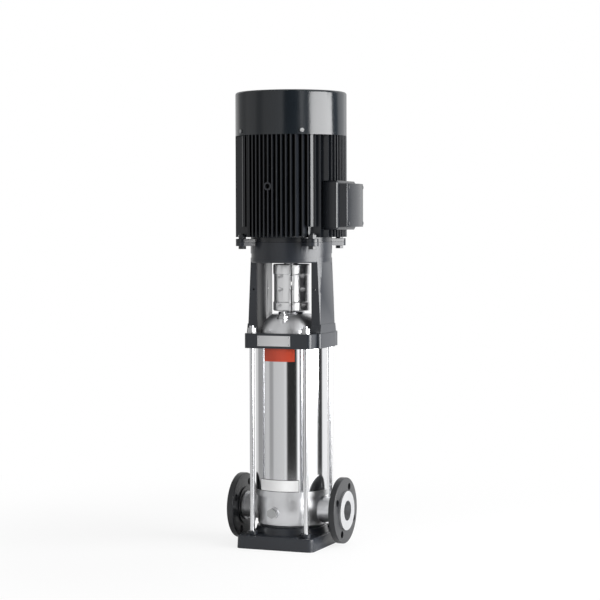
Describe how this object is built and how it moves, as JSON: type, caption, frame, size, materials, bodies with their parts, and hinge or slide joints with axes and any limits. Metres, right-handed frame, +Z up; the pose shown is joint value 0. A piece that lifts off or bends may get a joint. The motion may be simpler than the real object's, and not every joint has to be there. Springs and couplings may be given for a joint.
{
  "type": "vertical multistage pump",
  "caption": "Vertical multistage in-line pump: stage stack in a clamped steel sleeve between a ported base and a motor stool, driven by a finned flange motor through a split coupling.",
  "frame": {"origin": "on the shaft axis at the underside of the base plate", "axes": "+Z up along the shaft, +X out of the suction port, -Y towards the drain and vent plugs"},
  "size_m": [0.329, 0.2805, 1.135],
  "materials": {
    "cast_paint": "satin",
    "motor_paint": "satin",
    "cover_paint": "satin",
    "box_paint": "satin",
    "stainless_cast": "satin",
    "stainless_polished": "polished",
    "stainless_pressed": "satin",
    "steel_shaft": "polished",
    "zinc_fastener": "satin",
    "coupling_steel": "satin",
    "electrical_steel": "satin",
    "copper_coil": "satin",
    "rotor_aluminium": "satin",
    "bearing_steel": "polished",
    "fan_plastic": "matte",
    "block_plastic": "matte",
    "gland_plastic": "matte",
    "seal_rubber": "matte",
    "seal_carbide": "satin",
    "bush_carbide": "satin"
  },
  "bodies": {
    "pump_body": {"base_plate": "cast_paint", "base_chamber": "stainless_cast", "port_lock_rings": "zinc_fastener", "drain_plug": "zinc_fastener", "outer_sleeve": "stainless_polished", "o_rings": "seal_rubber", "inlet_guide": "stainless_pressed", "shaft_bushes": "bush_carbide", "pump_head": "stainless_cast", "vent_plug": "zinc_fastener", "seal_cover": "stainless_pressed", "seal_seat": "seal_carbide", "staybolts": "stainless_polished", "collar_nuts": "zinc_fastener", "motor_stool": "cast_paint", "drive_end_shield": "motor_paint", "motor_frame": "motor_paint", "fan_end_shield": "motor_paint", "bearing_outer_rings": "bearing_steel", "stator_core": "electrical_steel", "stator_windings": "copper_coil", "fan_cover": "cover_paint", "fan_cover_screws": "zinc_fastener", "terminal_box": "box_paint", "terminal_box_cover": "box_paint", "terminal_cover_screws": "zinc_fastener", "terminal_block": "block_plastic", "cable_gland": "gland_plastic", "flange_bolts": "motor_paint", "flange_nuts": "motor_paint", "stage_chamber_1": "stainless_pressed", "stage_chamber_2": "stainless_pressed", "stage_chamber_3": "stainless_pressed", "stage_chamber_4": "stainless_pressed", "stage_chamber_5": "stainless_pressed", "stage_chamber_6": "stainless_pressed", "stage_chamber_7": "stainless_pressed", "stage_chamber_8": "stainless_pressed"},
    "rotor": {"pump_shaft": "steel_shaft", "shaft_nut": "zinc_fastener", "seal_ring": "seal_carbide", "coupling_half_left": "coupling_steel", "coupling_half_right": "coupling_steel", "coupling_screws": "zinc_fastener", "bearing_inner_rings": "bearing_steel", "rotor_core": "rotor_aluminium", "motor_shaft": "steel_shaft", "fan": "fan_plastic", "impeller_1": "stainless_pressed", "impeller_2": "stainless_pressed", "impeller_3": "stainless_pressed", "impeller_4": "stainless_pressed", "impeller_5": "stainless_pressed", "impeller_6": "stainless_pressed", "impeller_7": "stainless_pressed", "impeller_8": "stainless_pressed"},
    "suction_ring": {"suction_flange": "cast_paint"},
    "discharge_ring": {"discharge_flange": "cast_paint"},
    "vent_needle": {"vent_screw": "zinc_fastener"},
    "ball_sets": {"bearing_balls": "bearing_steel"}
  },
  "joints": [
    {"name": "shaft_spin", "type": "hinge", "parent": "pump_body", "child": "rotor", "pos_m": [0, 0, 0.64], "axis": [0, 0, 1], "continuous": true},
    {"name": "ball_cage_spin", "type": "hinge", "parent": "pump_body", "child": "ball_sets", "pos_m": [0, 0, 0.772], "axis": [0, 0, 1], "continuous": true},
    {"name": "suction_flange_turn", "type": "hinge", "parent": "pump_body", "child": "suction_ring", "pos_m": [0.137, 0, 0.09], "axis": [1, 0, 0], "continuous": true},
    {"name": "discharge_flange_turn", "type": "hinge", "parent": "pump_body", "child": "discharge_ring", "pos_m": [-0.137, 0, 0.09], "axis": [-1, 0, 0], "continuous": true},
    {"name": "vent_screw_turn", "type": "hinge", "parent": "pump_body", "child": "vent_needle", "pos_m": [0, -0.055, 0.58], "axis": [0, 0, 1], "range_deg": [0, 720]}
  ],
  "couplings": [
    {"joint": "ball_cage_spin", "follows": "shaft_spin", "ratio": 0.437}
  ]
}
